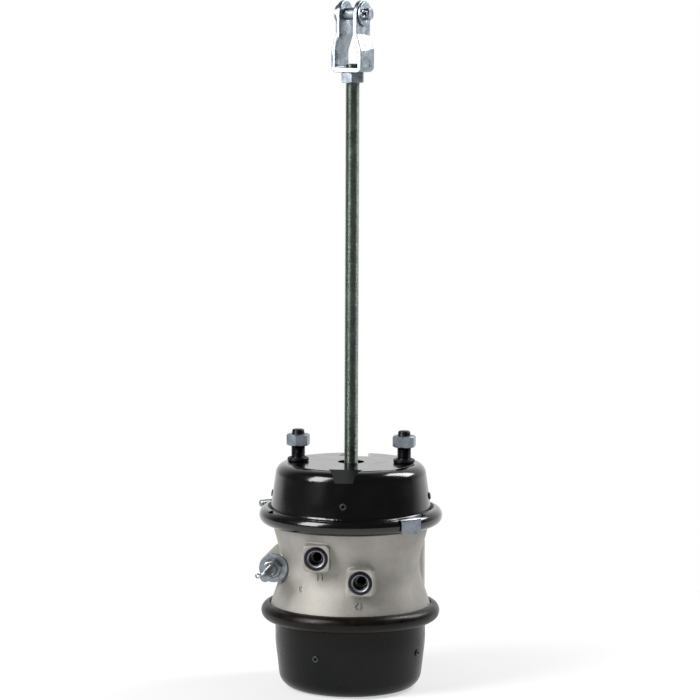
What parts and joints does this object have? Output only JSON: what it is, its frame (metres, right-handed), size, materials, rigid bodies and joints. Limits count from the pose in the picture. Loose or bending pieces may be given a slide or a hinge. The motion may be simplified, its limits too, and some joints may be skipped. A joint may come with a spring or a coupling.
{
  "type": "air brake chamber",
  "caption": "Double-diaphragm spring brake chamber: pressed service and spring housings on a cast flange case, threaded push rod with clevis, mounting studs and stored release tool.",
  "frame": {"origin": "centre of the mounting face, between the two mounting studs, on the push rod's axis", "axes": "+Z along the push rod, away from the chamber; X through both mounting studs; the air ports face -Y"},
  "size_m": [0.2175, 0.2113, 0.7775],
  "materials": {
    "black_enamel": "gloss black enamel",
    "black_steel": "satin black",
    "bright_zinc": "bright zinc plate",
    "olive_zinc": "yellow-green chromate zinc plate",
    "dark_steel": "phosphated steel",
    "spring_steel": "coated spring steel",
    "cast_aluminium": "shot-blasted casting",
    "machined_aluminium": "turned",
    "bush_plastic": "moulded",
    "rubber": "moulded"
  },
  "bodies": {
    "chamber": {"non_pressure_housing": "black_enamel", "mounting_studs": "black_steel", "stud_collars": "black_steel", "mounting_nuts": "bright_zinc", "service_vent_plugs": "rubber", "clamp_band": "black_enamel", "clamp_bolt": "bright_zinc", "clamp_nut": "bright_zinc", "id_tab": "bright_zinc", "flange_case": "cast_aluminium", "port_inserts": "dark_steel", "guide_bush": "bush_plastic", "adapter_rod_seals": "rubber", "service_diaphragm": "rubber", "spring_diaphragm": "rubber", "service_return_spring": "spring_steel", "adapter_return_spring": "spring_steel", "power_spring": "spring_steel", "spring_housing": "black_enamel", "crimp_ring": "black_enamel", "spring_vent_plugs": "rubber", "dust_plug": "rubber"},
    "push_rod": {"pushrod": "olive_zinc", "pushrod_plate": "dark_steel", "clevis_lock_nut": "bright_zinc", "clevis_yoke": "bright_zinc"},
    "clevis_pin": {"clevis_pin": "bright_zinc", "clevis_washer": "bright_zinc", "cotter_pin": "bright_zinc"},
    "spring_piston": {"adapter_rod": "machined_aluminium", "adapter_foot": "machined_aluminium", "pressure_plate": "cast_aluminium"},
    "release_tool": {"release_tool_bolt": "bright_zinc", "release_tool_nut": "bright_zinc", "release_tool_washer": "bright_zinc", "release_tool_pin": "bright_zinc"}
  },
  "joints": [
    {"name": "push_rod_slide", "type": "slide", "parent": "chamber", "child": "push_rod", "axis": [0, 0, 1], "range_m": [-0.06, 0], "stiffness_N_per_m": 500, "springref_m": 0.25, "deforming": ["service_return_spring", "service_diaphragm"]},
    {"name": "spring_piston_slide", "type": "slide", "parent": "chamber", "child": "spring_piston", "axis": [0, 0, 1], "range_m": [-0.06, 0], "deforming": ["adapter_return_spring", "spring_diaphragm", "power_spring"]},
    {"name": "clevis_pin_turn", "type": "hinge", "parent": "push_rod", "child": "clevis_pin", "pos_m": [0, 0, 0.505], "axis": [0.9239, -0.3827, 0], "continuous": true},
    {"name": "release_tool_turn", "type": "hinge", "parent": "chamber", "child": "release_tool", "pos_m": [-0.0847, -0.028, -0.1186], "axis": [-0.0523, -0.9986, 0], "range_deg": [0, 90]}
  ],
  "couplings": [
    {"joint": "spring_piston_slide", "follows": "push_rod_slide", "ratio": 1}
  ]
}
